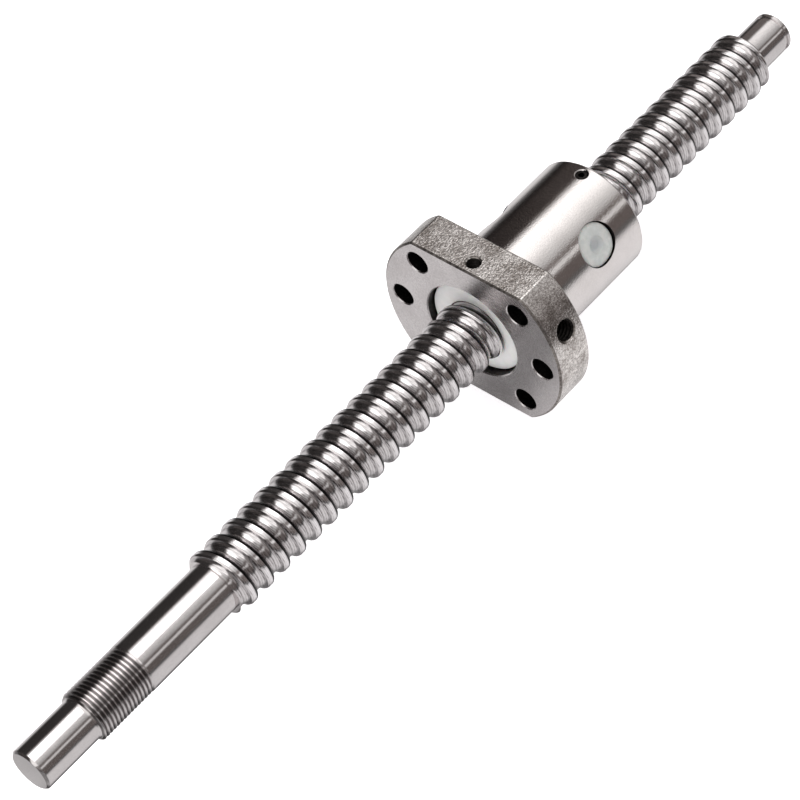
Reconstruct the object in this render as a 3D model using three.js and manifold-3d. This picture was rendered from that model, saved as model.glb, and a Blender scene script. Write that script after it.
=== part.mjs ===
// Ball screw assembly: a ground screw shaft with journals at both ends, and a flanged ball nut on it.
// Units are millimetres. The screw's axis is +X, the origin is the centre of the drive-end face, and
// +Z is the normal of the flange's upper flat.
import * as THREE from "three";
import { mergeVertices } from "three/addons/utils/BufferGeometryUtils.js";
import Module from "manifold-3d";

const wasm = await Module();
wasm.setup();

// ---- Driving dimensions -------------------------------------------------------------------------

const LEAD = 5; // axial travel for one turn of the right-hand screw
const SCREW_RADIUS = 7.75; // outside of the screw's lands
const BALL_RADIUS = 1.5875; // 1/8 inch balls
const BALL_CIRCLE_RADIUS = 8.1; // where the ball centres run while they carry load
const GROOVE_RADIUS = BALL_RADIUS + 0.06; // of the screw's and the nut's grooves
const LAND_CLEARANCE = 0.3; // between the screw's lands and the nut's

const SCREW_LENGTH = 249.5;
const DRIVE_JOURNAL = { radius: 5, length: 15 };
const LOCKNUT_THREAD = { radius: 5.95, length: 14 };
const FIXED_BEARING_JOURNAL = { radius: 6, length: 25 };
const FLOAT_JOURNAL = { radius: 5, length: 12 };
const CIRCLIP_GROOVE = { radius: 4.75, width: 1.15, fromShoulder: 9.5 };
const JOURNAL_CHAMFER = 0.4;
const SHOULDER_CHAMFER = 1;
const SCREW_START = DRIVE_JOURNAL.length + LOCKNUT_THREAD.length + FIXED_BEARING_JOURNAL.length;
const SCREW_END = SCREW_LENGTH - FLOAT_JOURNAL.length;

const NUT_FRONT = 137.2; // the flange's front face, with the nut where it is stored
const NUT_LENGTH = 43;
const NUT_RADIUS = 14;
const NUT_CHAMFER = 0.8;
const FLANGE = { radius: 24, thickness: 10, acrossFlats: 38, chamfer: 0.4 };
const BOLT_HOLE = { radius: 2.75, circleRadius: 19, degrees: [-45, 0, 45, 135, 180, 225] };
const WIPER_SEAT = { radius: 12.1, depth: 5.6 };
const WIPER = { radius: 11.8, recess: 1.9, thickness: 3.4, clearance: 0.18 };
const WIPER_GROOVE = { depth: 0.7, halfWidth: 0.9 }; // round the rim, for the set screw's tip
const SET_SCREW = { radius: 1.35, holeRadius: 1.65, fromFace: 3, socketRadius: 0.75, socketDepth: 1.2 };
const GREASE_PORT = { radius: 2.6, fromFace: 5.2, degrees: 157, floor: 15.5, feedRadius: 1.1 };

const CIRCUITS = 3; // each is one closed loop of balls
const BALLS_PER_CIRCUIT = 16;
const CIRCUIT_PITCH = LEAD * (1 + 1 / CIRCUITS);
const FIRST_DEFLECTOR = { fromFace: 16.57, degrees: -93.25 };
const DEFLECTOR = { radius: 5.15, holeRadius: 5.4, setBack: 0.15, segments: 24 };
// A ball crosses a land between these angles from its deflector's middle, in a channel cut in the
// deflector and, a little wider, in the nut beside it.
const CROSSING = { halfAngle: 36, reach: 44, radius: 1.78, nutRadius: 1.95 };
const CROSSING_RADIUS = SCREW_RADIUS + BALL_RADIUS + 0.1; // ball centres where they pass over a land

const SCREW_SEGMENTS = 16; // facets in one turn of the screw
const ROUND_SEGMENTS = 32;
const NUT_SEGMENTS = 48;
const HOLE_SEGMENTS = 16;

// ---- Materials ----------------------------------------------------------------------------------

const steel = (color, roughness) => new THREE.MeshStandardMaterial({ color, roughness, metalness: 1 });
const polymer = (color) => new THREE.MeshStandardMaterial({ color, roughness: 0.55, metalness: 0 });
const groundSteel = steel(0xb9b4b3, 0.22);
const nutSteel = steel(0xaba6a1, 0.36);
const bearingSteel = steel(0xd6d6d8, 0.08);
const deflectorPolymer = polymer(0xc3c8c4);
const wiperPolymer = polymer(0xe4e6e5);
const blackSteel = steel(0x35322f, 0.45);

// ---- Solids -------------------------------------------------------------------------------------

const radians = THREE.MathUtils.degToRad;

// A closed three.js geometry as a manifold-3d solid.
function toSolid(geometry) {
  const bare = geometry.clone();
  bare.deleteAttribute("normal");
  bare.deleteAttribute("uv");
  const merged = mergeVertices(bare, 1e-4);
  const mesh = new wasm.Mesh({
    numProp: 3,
    vertProperties: new Float32Array(merged.attributes.position.array),
    triVerts: new Uint32Array(merged.index.array),
  });
  return new wasm.Manifold(mesh);
}

function toGeometry(solid) {
  const mesh = solid.getMesh();
  const geometry = new THREE.BufferGeometry();
  geometry.setAttribute("position", new THREE.BufferAttribute(new Float32Array(mesh.vertProperties), 3));
  geometry.setIndex(new THREE.BufferAttribute(new Uint32Array(mesh.triVerts), 1));
  geometry.computeVertexNormals();
  return geometry;
}

// The radius whose facets touch a circle of this radius from outside.
const circumscribed = (radius, segments) => radius / Math.cos(Math.PI / segments);

// A solid of revolution about the screw's axis, from [x, radius] pairs that start and end on the axis
// or close on themselves.
function turned(profile, segments = ROUND_SEGMENTS) {
  const points = profile.map(([x, radius]) => new THREE.Vector2(radius, x));
  const geometry = new THREE.LatheGeometry(points, segments);
  geometry.rotateZ(-Math.PI / 2);
  const solid = toSolid(geometry);
  return solid.volume() < 0 ? toSolid(flipped(geometry)) : solid;
}

function flipped(geometry) {
  const copy = geometry.clone();
  const index = copy.index.array;
  for (let i = 0; i < index.length; i += 3) [index[i + 1], index[i + 2]] = [index[i + 2], index[i + 1]];
  return copy;
}

// A rod along +X from x0 to x1.
const rod = (radius, x0, x1, segments = ROUND_SEGMENTS) =>
  turned(
    [
      [x0, 0],
      [x0, radius],
      [x1, radius],
      [x1, 0],
    ],
    segments,
  );

// A cylinder whose axis stands on the screw's axis at x, at an angle from +Y towards +Z.
function radialCylinder(radius, x, degrees, inner, outer, segments = HOLE_SEGMENTS) {
  const geometry = new THREE.CylinderGeometry(radius, radius, outer - inner, segments);
  geometry.rotateY(Math.PI / segments);
  geometry.translate(0, (inner + outer) / 2, 0);
  geometry.rotateX(radians(degrees));
  geometry.translate(x, 0, 0);
  return toSolid(geometry);
}

// A cylinder between two points.
function cylinderBetween(start, end, radius) {
  const along = end.clone().sub(start);
  const geometry = new THREE.CylinderGeometry(radius, radius, along.length(), HOLE_SEGMENTS);
  geometry.applyQuaternion(
    new THREE.Quaternion().setFromUnitVectors(new THREE.Vector3(0, 1, 0), along.clone().normalize()),
  );
  const middle = start.clone().add(end).multiplyScalar(0.5);
  geometry.translate(middle.x, middle.y, middle.z);
  return toSolid(geometry);
}

const atAngle = (x, radius, degrees) =>
  new THREE.Vector3(x, radius * Math.cos(radians(degrees)), radius * Math.sin(radians(degrees)));

// ---- The helix ----------------------------------------------------------------------------------

// The groove's centre line passes x = PHASE + LEAD * turns at the angle 0, which is +Y.
const firstDeflectorX = NUT_FRONT + FIRST_DEFLECTOR.fromFace;
const PHASE = firstDeflectorX + LEAD / 2 - (LEAD * FIRST_DEFLECTOR.degrees) / 360;

// Half of a groove's cross-section around the balls' circle, as [half width, depth] pairs from the
// root to a land: facets that touch a circle of the groove's radius from outside.
function grooveFacets(grooveRadius, landDepth) {
  const step = radians(34);
  const corner = (turns) => {
    const reach = grooveRadius / Math.cos(step / 2);
    const angle = step * (turns + 0.5);
    return [reach * Math.sin(angle), reach * Math.cos(angle)];
  };
  const landHalfWidth = (grooveRadius - landDepth * Math.cos(2 * step)) / Math.sin(2 * step);
  return [corner(0), corner(1), [landHalfWidth, landDepth]];
}

// One pitch of a helical surface as [offset from the groove's centre, radius] pairs.
function pitchProfile(facets, toRadius) {
  const ahead = facets.map(([halfWidth, depth]) => [halfWidth, toRadius(depth)]);
  const behind = ahead.map(([halfWidth, radius]) => [LEAD - halfWidth, radius]).reverse();
  return [...ahead, ...behind];
}

// The screw's surface; grow moves it outwards, which makes a cutter with clearance.
const screwProfile = (grow) =>
  pitchProfile(
    grooveFacets(GROOVE_RADIUS - grow, BALL_CIRCLE_RADIUS - SCREW_RADIUS - grow),
    (depth) => BALL_CIRCLE_RADIUS - depth,
  );

// The nut's thread space.
const nutProfile = () =>
  pitchProfile(grooveFacets(GROOVE_RADIUS, SCREW_RADIUS + LAND_CLEARANCE - BALL_CIRCLE_RADIUS), (depth) =>
    circumscribed(BALL_CIRCLE_RADIUS + depth, SCREW_SEGMENTS),
  );

// A solid bounded by a right-hand helical surface, between x0 and x1 and a little beyond them.
function helicalCore(profile, x0, x1) {
  const rows = profile.length;
  const firstTurn = Math.floor((x0 - PHASE) / LEAD) - 2;
  const turns = Math.ceil((x1 - x0) / LEAD) + 5;
  const rowCount = turns * rows + 1;
  const positions = [];
  const index = [];
  const at = (column, row) => (column === SCREW_SEGMENTS ? row + rows : column * (rowCount + rows) + row);
  for (let column = 0; column < SCREW_SEGMENTS; column++) {
    const share = column / SCREW_SEGMENTS;
    for (let row = 0; row < rowCount + rows; row++) {
      const [offset, radius] = profile[row % rows];
      const x = PHASE + LEAD * (firstTurn + Math.floor(row / rows) + share) + offset;
      positions.push(...atAngle(x, radius, 360 * share).toArray());
    }
  }
  for (let column = 0; column < SCREW_SEGMENTS; column++)
    for (let row = 0; row < rowCount - 1; row++) {
      const [a, b] = [at(column, row), at(column, row + 1)];
      const [c, d] = [at(column + 1, row), at(column + 1, row + 1)];
      index.push(a, c, b, b, c, d);
    }
  // Each end is a fan from a point on the axis to the surface's edge.
  const cap = (row, x, first) => {
    const centre = positions.length / 3;
    positions.push(x, 0, 0);
    const edge = [];
    for (let column = 0; column < SCREW_SEGMENTS; column++) edge.push(at(column, row));
    for (let step = rows; step > 0; step--) edge.push(at(0, row + step));
    edge.forEach((vertex, i) => {
      const next = edge[(i + 1) % edge.length];
      index.push(...(first ? [centre, next, vertex] : [centre, vertex, next]));
    });
  };
  cap(0, PHASE + LEAD * (firstTurn - 1), true);
  cap(rowCount - 1, PHASE + LEAD * (firstTurn + turns + 2), false);
  const geometry = new THREE.BufferGeometry();
  geometry.setAttribute("position", new THREE.BufferAttribute(new Float32Array(positions), 3));
  geometry.setIndex(index);
  const solid = toSolid(geometry);
  return solid.volume() < 0 ? toSolid(flipped(geometry)) : solid;
}

// ---- The balls' path ----------------------------------------------------------------------------

const circuits = Array.from({ length: CIRCUITS }, (_, i) => ({
  x: firstDeflectorX + i * CIRCUIT_PITCH,
  degrees: FIRST_DEFLECTOR.degrees + (i * 360) / CIRCUITS,
}));

// Where a ball's centre is, at an angle counted from its circuit's deflector: once round the screw's
// groove, then outwards and back over one land inside the deflector.
function ballCentre(circuit, degreesRound) {
  const turn = ((degreesRound + 180) % 360) - 180;
  const { halfAngle } = CROSSING;
  const along = (degreesFromMiddle) => (LEAD * degreesFromMiddle) / 360;
  if (Math.abs(turn) >= halfAngle) {
    const fromMiddle = turn > 0 ? turn - 180 : turn + 180;
    return atAngle(circuit.x + along(fromMiddle), BALL_CIRCLE_RADIUS, circuit.degrees + turn);
  }
  const share = turn / halfAngle;
  const ease = (3 * share - share ** 3) / 2;
  const lift = 1 - share ** 4;
  const radius = BALL_CIRCLE_RADIUS + lift * (CROSSING_RADIUS - BALL_CIRCLE_RADIUS);
  return atAngle(circuit.x + along(halfAngle - 180) * ease, radius, circuit.degrees + turn);
}

// The closed loop of a circuit, as points close enough together to measure along.
function circuitLoop(circuit) {
  const points = [];
  for (let degrees = 0; degrees < 360; degrees += 1) points.push(ballCentre(circuit, degrees));
  return new THREE.CatmullRomCurve3(points, true);
}

// The channel that a circuit's balls cross a land in, which reaches this angle to either side.
function crossingChannel(circuit, radius, reach) {
  const section = new THREE.Shape().absarc(0, 0, radius, 0, 2 * Math.PI);
  const path = new THREE.CatmullRomCurve3(
    Array.from({ length: 17 }, (_, i) => ballCentre(circuit, (i / 8 - 1) * reach)),
  );
  return toSolid(new THREE.ExtrudeGeometry(section, { steps: 14, curveSegments: 5, extrudePath: path }));
}

// ---- Screw shaft --------------------------------------------------------------------------------

function screwShaft() {
  const chamfered = turned([
    [SCREW_START, 0],
    [SCREW_START, circumscribed(SCREW_RADIUS, ROUND_SEGMENTS) - SHOULDER_CHAMFER],
    [SCREW_START + SHOULDER_CHAMFER, circumscribed(SCREW_RADIUS, ROUND_SEGMENTS)],
    [SCREW_END - SHOULDER_CHAMFER, circumscribed(SCREW_RADIUS, ROUND_SEGMENTS)],
    [SCREW_END, circumscribed(SCREW_RADIUS, ROUND_SEGMENTS) - SHOULDER_CHAMFER],
    [SCREW_END, 0],
  ]);
  const threaded = helicalCore(screwProfile(0), SCREW_START, SCREW_END).intersect(chamfered);
  const threadStart = DRIVE_JOURNAL.length;
  const threadEnd = threadStart + LOCKNUT_THREAD.length;
  const driveEnd = turned([
    [0, 0],
    [0, DRIVE_JOURNAL.radius - JOURNAL_CHAMFER],
    [JOURNAL_CHAMFER, DRIVE_JOURNAL.radius],
    [threadStart, DRIVE_JOURNAL.radius],
    [threadStart, LOCKNUT_THREAD.radius - JOURNAL_CHAMFER],
    [threadStart + JOURNAL_CHAMFER, LOCKNUT_THREAD.radius],
    [threadEnd, LOCKNUT_THREAD.radius],
    [threadEnd, FIXED_BEARING_JOURNAL.radius],
    [SCREW_START + 2, FIXED_BEARING_JOURNAL.radius],
    [SCREW_START + 2, 0],
  ]);
  const grooveStart = SCREW_END + CIRCLIP_GROOVE.fromShoulder;
  const grooveEnd = grooveStart + CIRCLIP_GROOVE.width;
  const floatEnd = turned([
    [SCREW_END - 2, 0],
    [SCREW_END - 2, FLOAT_JOURNAL.radius],
    [grooveStart, FLOAT_JOURNAL.radius],
    [grooveStart, CIRCLIP_GROOVE.radius],
    [grooveEnd, CIRCLIP_GROOVE.radius],
    [grooveEnd, FLOAT_JOURNAL.radius],
    [SCREW_LENGTH - JOURNAL_CHAMFER, FLOAT_JOURNAL.radius],
    [SCREW_LENGTH, FLOAT_JOURNAL.radius - JOURNAL_CHAMFER],
    [SCREW_LENGTH, 0],
  ]);
  return threaded.add(driveEnd).add(floatEnd);
}

// ---- Nut ----------------------------------------------------------------------------------------

const nutRear = NUT_FRONT + NUT_LENGTH;
const frontSetScrewX = NUT_FRONT + SET_SCREW.fromFace;
const rearSetScrewX = nutRear - SET_SCREW.fromFace;
const flatHeight = FLANGE.acrossFlats / 2;

function nutBlank() {
  const flangeBack = NUT_FRONT + FLANGE.thickness;
  const { radius, chamfer } = FLANGE;
  const round = turned(
    [
      [NUT_FRONT, 0],
      [NUT_FRONT, radius - chamfer],
      [NUT_FRONT + chamfer, radius],
      [flangeBack - chamfer, radius],
      [flangeBack, radius - chamfer],
      [flangeBack, NUT_RADIUS],
      [nutRear - NUT_CHAMFER, NUT_RADIUS],
      [nutRear, NUT_RADIUS - NUT_CHAMFER],
      [nutRear, 0],
    ],
    NUT_SEGMENTS,
  );
  const slab = new THREE.BoxGeometry(2 * NUT_LENGTH, 3 * radius, FLANGE.acrossFlats);
  slab.translate(nutRear - NUT_LENGTH / 2, 0, 0);
  return round.intersect(toSolid(slab));
}

// A bolt hole is parallel to the screw's axis.
function boltHole(degrees) {
  const hole = rod(BOLT_HOLE.radius, NUT_FRONT - 1, NUT_FRONT + FLANGE.thickness + 1, HOLE_SEGMENTS);
  const centre = atAngle(0, BOLT_HOLE.circleRadius, degrees);
  return hole.translate(centre.x, centre.y, centre.z);
}

function greasePort() {
  const { radius, fromFace, degrees, floor, feedRadius } = GREASE_PORT;
  const x = NUT_FRONT + fromFace;
  const port = radialCylinder(radius, x, degrees, floor, FLANGE.radius + 1);
  const feedStart = atAngle(x, floor + 1, degrees);
  const feedEnd = atAngle(x + 5, SCREW_RADIUS, degrees);
  return port.add(cylinderBetween(feedStart, feedEnd, feedRadius));
}

function nutBody() {
  const seatRadius = circumscribed(WIPER_SEAT.radius, ROUND_SEGMENTS);
  const boreStart = NUT_FRONT + WIPER_SEAT.depth;
  const boreEnd = nutRear - WIPER_SEAT.depth;
  const boreSleeve = rod(BALL_CIRCLE_RADIUS + 2 * BALL_RADIUS, boreStart, boreEnd);
  const cuts = [
    rod(seatRadius, NUT_FRONT - 1, boreStart + 0.01),
    rod(seatRadius, boreEnd - 0.01, nutRear + 1),
    helicalCore(nutProfile(), boreStart, boreEnd).intersect(boreSleeve),
    ...BOLT_HOLE.degrees.map(boltHole),
    ...circuits.map(({ x, degrees }) =>
      radialCylinder(DEFLECTOR.holeRadius, x, degrees, 1, NUT_RADIUS + 1, DEFLECTOR.segments),
    ),
    radialCylinder(SET_SCREW.holeRadius, frontSetScrewX, 90, WIPER_SEAT.radius - 1, flatHeight + 1),
    radialCylinder(SET_SCREW.holeRadius, rearSetScrewX, 90, WIPER_SEAT.radius - 1, NUT_RADIUS + 1),
    ...circuits.map((circuit) => crossingChannel(circuit, CROSSING.nutRadius, CROSSING.reach)),
    greasePort(),
  ];
  return cuts.reduce((solid, cut) => solid.subtract(cut), nutBlank());
}

// ---- Deflectors, wipers, set screws and balls ---------------------------------------------------

// A round plug in the nut's wall, with the channel that carries the balls over one land.
function deflector(circuit) {
  const { x, degrees } = circuit;
  const plug = radialCylinder(DEFLECTOR.radius, x, degrees, 5, NUT_RADIUS + 1, DEFLECTOR.segments);
  const nutSurface = rod(NUT_RADIUS - DEFLECTOR.setBack, x - 9, x + 9);
  const screwSpace = rod(circumscribed(SCREW_RADIUS + LAND_CLEARANCE, ROUND_SEGMENTS), x - 9, x + 9);
  return plug
    .intersect(nutSurface)
    .subtract(screwSpace)
    .subtract(crossingChannel(circuit, CROSSING.radius, CROSSING.reach));
}

// A wiper's blank runs from its outer face, at x, inwards along direction.
function wiperBlank(x, direction, innerRadius) {
  const { radius, thickness } = WIPER;
  const { depth, halfWidth } = WIPER_GROOVE;
  const grooveAt = SET_SCREW.fromFace - WIPER.recess;
  const points = [
    [0, innerRadius],
    [0, radius],
    [grooveAt - halfWidth, radius],
    [grooveAt, radius - depth],
    [grooveAt + halfWidth, radius],
    [thickness, radius],
    [thickness, innerRadius],
    [0, innerRadius],
  ];
  return turned(points.map(([along, r]) => [x + direction * along, r]));
}

// The front wiper's lip follows the screw's groove.
function frontWiper() {
  const x = NUT_FRONT + WIPER.recess;
  const blank = wiperBlank(x, 1, BALL_CIRCLE_RADIUS - GROOVE_RADIUS - 0.5);
  const profile = screwProfile(WIPER.clearance).map(([offset, radius]) => [
    offset,
    circumscribed(radius, SCREW_SEGMENTS),
  ]);
  return blank.subtract(helicalCore(profile, x, x + WIPER.thickness));
}

// The rear wiper's bore is plain and clears the screw's lands.
function rearWiper() {
  const bore = circumscribed(SCREW_RADIUS + WIPER.clearance, ROUND_SEGMENTS);
  return wiperBlank(nutRear - WIPER.recess, -1, bore);
}

// A grub screw with a hexagon socket and a cone point in the wiper's groove.
function setScrew(x, top) {
  const tip = WIPER.radius - WIPER_GROOVE.depth + 0.45;
  const { radius, socketRadius, socketDepth } = SET_SCREW;
  const geometry = new THREE.LatheGeometry(
    [
      [0, tip],
      [0.3, tip],
      [radius, tip + 1],
      [radius, top],
      [0, top],
    ].map(([r, z]) => new THREE.Vector2(r, z)),
    HOLE_SEGMENTS,
  );
  const socket = new THREE.CylinderGeometry(socketRadius, socketRadius, 2 * socketDepth, 6);
  socket.translate(0, top, 0);
  return toSolid(geometry).subtract(toSolid(socket)).rotate(90, 0, 0).translate(x, 0, 0);
}

// ---- Assembly -----------------------------------------------------------------------------------

const ballScrew = new THREE.Group();

function place(name, solid, material) {
  const mesh = new THREE.Mesh(toGeometry(solid), material);
  mesh.name = name;
  ballScrew.add(mesh);
}

place("screw_shaft", screwShaft(), groundSteel);
place("nut_body", nutBody(), nutSteel);
place("front_wiper", frontWiper(), wiperPolymer);
place("rear_wiper", rearWiper(), wiperPolymer);
place("front_wiper_set_screw", setScrew(frontSetScrewX, WIPER.radius + 3.6), blackSteel);
place("rear_wiper_set_screw", setScrew(rearSetScrewX, WIPER.radius + 1.9), blackSteel);

circuits.forEach((circuit, i) => {
  place(`ball_deflector_${i + 1}`, deflector(circuit), deflectorPolymer);
  const centres = circuitLoop(circuit).getSpacedPoints(BALLS_PER_CIRCUIT).slice(0, BALLS_PER_CIRCUIT);
  centres.forEach((centre, k) => {
    const ball = new THREE.Mesh(new THREE.IcosahedronGeometry(BALL_RADIUS, 1), bearingSteel);
    ball.name = `ball_${i + 1}_${String(k + 1).padStart(2, "0")}`;
    ball.position.copy(centre);
    ballScrew.add(ball);
  });
});

export default ballScrew;
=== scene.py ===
import math

import bmesh
import bpy
import numpy as np
from mathutils import Matrix, Vector


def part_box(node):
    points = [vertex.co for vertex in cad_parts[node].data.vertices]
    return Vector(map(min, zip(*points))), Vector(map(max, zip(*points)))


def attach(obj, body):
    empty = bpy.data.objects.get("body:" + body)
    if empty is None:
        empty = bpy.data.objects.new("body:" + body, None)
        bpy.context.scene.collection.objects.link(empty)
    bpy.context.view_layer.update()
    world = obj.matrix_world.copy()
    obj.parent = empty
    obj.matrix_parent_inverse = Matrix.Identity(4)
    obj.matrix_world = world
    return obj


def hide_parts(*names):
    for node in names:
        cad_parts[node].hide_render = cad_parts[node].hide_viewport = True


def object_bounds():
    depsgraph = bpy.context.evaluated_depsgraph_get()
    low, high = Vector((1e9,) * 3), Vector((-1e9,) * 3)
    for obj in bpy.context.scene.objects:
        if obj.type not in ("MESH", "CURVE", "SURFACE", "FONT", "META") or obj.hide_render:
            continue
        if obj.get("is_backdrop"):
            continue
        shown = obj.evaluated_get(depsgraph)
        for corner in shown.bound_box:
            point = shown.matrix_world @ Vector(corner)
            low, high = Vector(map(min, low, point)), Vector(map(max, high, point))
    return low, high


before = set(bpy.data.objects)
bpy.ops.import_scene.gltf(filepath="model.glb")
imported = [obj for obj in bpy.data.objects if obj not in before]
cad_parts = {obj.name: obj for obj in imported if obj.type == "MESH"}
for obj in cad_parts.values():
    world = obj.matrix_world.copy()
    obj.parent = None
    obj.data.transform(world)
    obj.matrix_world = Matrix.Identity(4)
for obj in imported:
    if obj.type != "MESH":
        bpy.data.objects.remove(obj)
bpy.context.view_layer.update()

# A ball screw with its flanged nut: the screw shaft, the nut, three deflectors, two wipers with their
# set screws, and three circuits of balls. Each piece replaces the CAD node that it refines.

scene = bpy.context.scene

# ---- Dimensions, in millimetres -----------------------------------------------------------------
# The screw's axis is +X. Angles go round it from +Y towards +Z.

MM = 0.001


def cad_box(node):
    low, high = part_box(node)
    return low / MM, high / MM


_, screw_high = cad_box("screw_shaft")
nut_low, nut_high = cad_box("nut_body")
SCREW_LENGTH = screw_high.x
NUT_FRONT, NUT_REAR = nut_low.x, nut_high.x
FLANGE_RADIUS, FLAT_HEIGHT = nut_high.y, nut_high.z

LEAD = 5.0
SCREW_RADIUS = 7.75
BALL_RADIUS = 1.5875
BALL_CIRCLE = 8.1
GROOVE_RADIUS = BALL_RADIUS + 0.06
LAND_CLEARANCE = 0.3
SHOULDERS = (54.0, SCREW_LENGTH - 12.0)
DRIVE_RADIUS, DRIVE_END = 5.0, 15.0
THREAD_RADIUS, THREAD_ROOT, THREAD_CORE, THREAD_PITCH, THREAD_END = 5.97, 5.37, 5.3, 1.0, 29.0
BEARING_RADIUS = 6.0
FLOAT_RADIUS = 5.0
CIRCLIP, CIRCLIP_DEPTH = (9.5, 10.65), 0.3

NUT_RADIUS = 14.0
FLANGE_THICKNESS, FLANGE_CHAMFER = 10.0, 0.4
FLANGE_BACK = NUT_FRONT + FLANGE_THICKNESS
BOLT_CIRCLE, BOLT_RADIUS = 19.0, 2.75
BOLT_ANGLES = (-45, 0, 45, 135, 180, 225)
SEAT_RADIUS, SEAT_DEPTH = 12.1, 5.6
WIPER_RADIUS, WIPER_RECESS, WIPER_THICKNESS, WIPER_CLEARANCE = 11.8, 1.9, 3.4, 0.18
WIPER_GROOVE_DEPTH, WIPER_GROOVE_HALF = 0.7, 0.9
SET_SCREW_INSET = 3.0
PORT_X, PORT_ANGLE, PORT_FLOOR, FEED_RADIUS = NUT_FRONT + 5.2, 157.0, 15.5, 1.1
# The crest radius, root radius and pitch of each tapped hole, and of the set screws.
FRONT_TAP, REAR_TAP, PORT_TAP = (1.78, 1.55, 0.5), (1.62, 1.42, 0.5), (2.75, 2.3, 1.0)
SET_SCREW_THREAD = (1.4, 1.2, 0.5)
DEFLECTOR_RADIUS, DEFLECTOR_HOLE, DEFLECTOR_RECESS = 4.85, 5.1, 0.5
CROSSING_HALF, CROSSING_REACH = 36.0, 44.0
CROSSING_CHANNEL, CROSSING_IN_NUT = 1.78, 1.95
CROSSING_CIRCLE = SCREW_RADIUS + BALL_RADIUS + 0.1
CIRCUITS = [(NUT_FRONT + 16.57 + i * LEAD * 4 / 3, -93.25 + i * 120.0) for i in range(3)]
PHASE = CIRCUITS[0][0] + LEAD / 2 - LEAD * CIRCUITS[0][1] / 360

ROUND, SMALL_ROUND, HOLE_ROUND = 192, 96, 48  # facets round cylinders: big, deflector and hole
# Facets in one turn of the screw, its lock nut thread, the nut's groove and the small threads.
HELIX, THREAD_HELIX, NUT_HELIX, SMALL_HELIX = 96, 72, 64, 40

# ---- Solids -------------------------------------------------------------------------------------


def around(x, radius, degrees):
    a = math.radians(degrees)
    return Vector((x, radius * math.cos(a), radius * math.sin(a)))


def solid(name, points, faces, matrix=None):
    """A closed mesh object from points in millimetres, with its faces turned outwards."""
    mesh = bpy.data.meshes.new(name)
    placed = [(matrix @ Vector(p) if matrix else Vector(p)) * MM for p in points]
    mesh.from_pydata(placed, [], faces)
    shape = bmesh.new()
    shape.from_mesh(mesh)
    if shape.calc_volume(signed=True) < 0:
        bmesh.ops.reverse_faces(shape, faces=shape.faces)
    shape.to_mesh(mesh)
    shape.free()
    made = bpy.data.objects.new(name, mesh)
    scene.collection.objects.link(made)
    return made


def rounded(corners, steps=3):
    """A profile from (x, radius, fillet) corners, with each corner rounded by its fillet."""
    profile = []
    for i, (x, y, fillet) in enumerate(corners):
        here = Vector((x, y))
        if fillet == 0 or i in (0, len(corners) - 1):
            profile.append((x, y))
            continue
        back = Vector(corners[i - 1][:2]) - here
        ahead = Vector(corners[i + 1][:2]) - here
        half = (math.pi - back.angle(ahead)) / 2
        cut = min(fillet * math.tan(half), 0.49 * back.length, 0.49 * ahead.length)
        start, end = here + back.normalized() * cut, here + ahead.normalized() * cut
        for k in range(steps + 1):
            t = k / steps
            on_curve = start * (1 - t) ** 2 + here * 2 * t * (1 - t) + end * t**2
            profile.append(tuple(on_curve))
    return profile


def lathe(name, profile, segments=ROUND, matrix=None, closed=False):
    """A solid of revolution about X. The profile runs from the axis to the axis, or is a closed ring."""
    points, faces, rings = [], [], []
    for x, radius in profile:
        if radius < 1e-6:
            rings.append([len(points)] * segments)
            points.append((x, 0, 0))
        else:
            rings.append(range(len(points), len(points) + segments))
            points.extend(around(x, radius, 360 * s / segments) for s in range(segments))
    pairs = list(zip(rings, rings[1:]))
    if closed:
        pairs.append((rings[-1], rings[0]))
    for first, second in pairs:
        for s in range(segments):
            t = (s + 1) % segments
            corners = [first[s], second[s], second[t], first[t]]
            faces.append([c for n, c in enumerate(corners) if c not in corners[:n]])
    return solid(name, points, faces, matrix)


def helicoid(name, profile, pitch, phase, x0, x1, segments=HELIX, matrix=None):
    """A right-hand helical solid that covers x0 to x1. The profile is one pitch of (offset, radius)."""
    rows = len(profile)
    first = math.floor((x0 - phase) / pitch) - 2
    count = (math.ceil((x1 - x0) / pitch) + 5) * rows + 1
    points, faces = [], []
    for column in range(segments):
        share = column / segments
        for row in range(count + rows):
            offset, radius = profile[row % rows]
            x = phase + pitch * (first + row // rows + share) + offset
            points.append(around(x, radius, 360 * share))

    def at(column, row):
        return row + rows if column == segments else column * (count + rows) + row

    for column in range(segments):
        for row in range(count - 1):
            here, beside = at(column, row), at(column + 1, row)
            faces.append((here, beside, at(column + 1, row + 1), at(column, row + 1)))
    for row, x, is_first in (
        (0, phase + pitch * (first - 1), True),
        (count - 1, phase + pitch * (first + count // rows + 2), False),
    ):
        centre = len(points)
        points.append((x, 0, 0))
        edge = [at(column, row) for column in range(segments)]
        edge += [at(0, row + step) for step in range(rows, 0, -1)]
        for i, corner in enumerate(edge):
            after = edge[(i + 1) % len(edge)]
            faces.append((centre, after, corner) if is_first else (centre, corner, after))
    return solid(name, points, faces, matrix)


def tube(name, path, radius, segments=24):
    """A round bar that follows a path, with its section kept square to it."""
    path = [Vector(p) for p in path]
    points, faces = [], []
    side = None
    for i, here in enumerate(path):
        along = (path[min(i + 1, len(path) - 1)] - path[max(i - 1, 0)]).normalized()
        if side is None:
            side = along.orthogonal().normalized()
        side = (side - along * side.dot(along)).normalized()
        other = along.cross(side)
        for s in range(segments):
            a = 2 * math.pi * s / segments
            points.append(here + (side * math.cos(a) + other * math.sin(a)) * radius)
    for i in range(len(path) - 1):
        for s in range(segments):
            here, beside = i * segments + s, i * segments + (s + 1) % segments
            faces.append((here, beside, beside + segments, here + segments))
    faces.append(tuple(reversed(range(segments))))
    faces.append(tuple(range((len(path) - 1) * segments, len(path) * segments)))
    return solid(name, points, faces)


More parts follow.
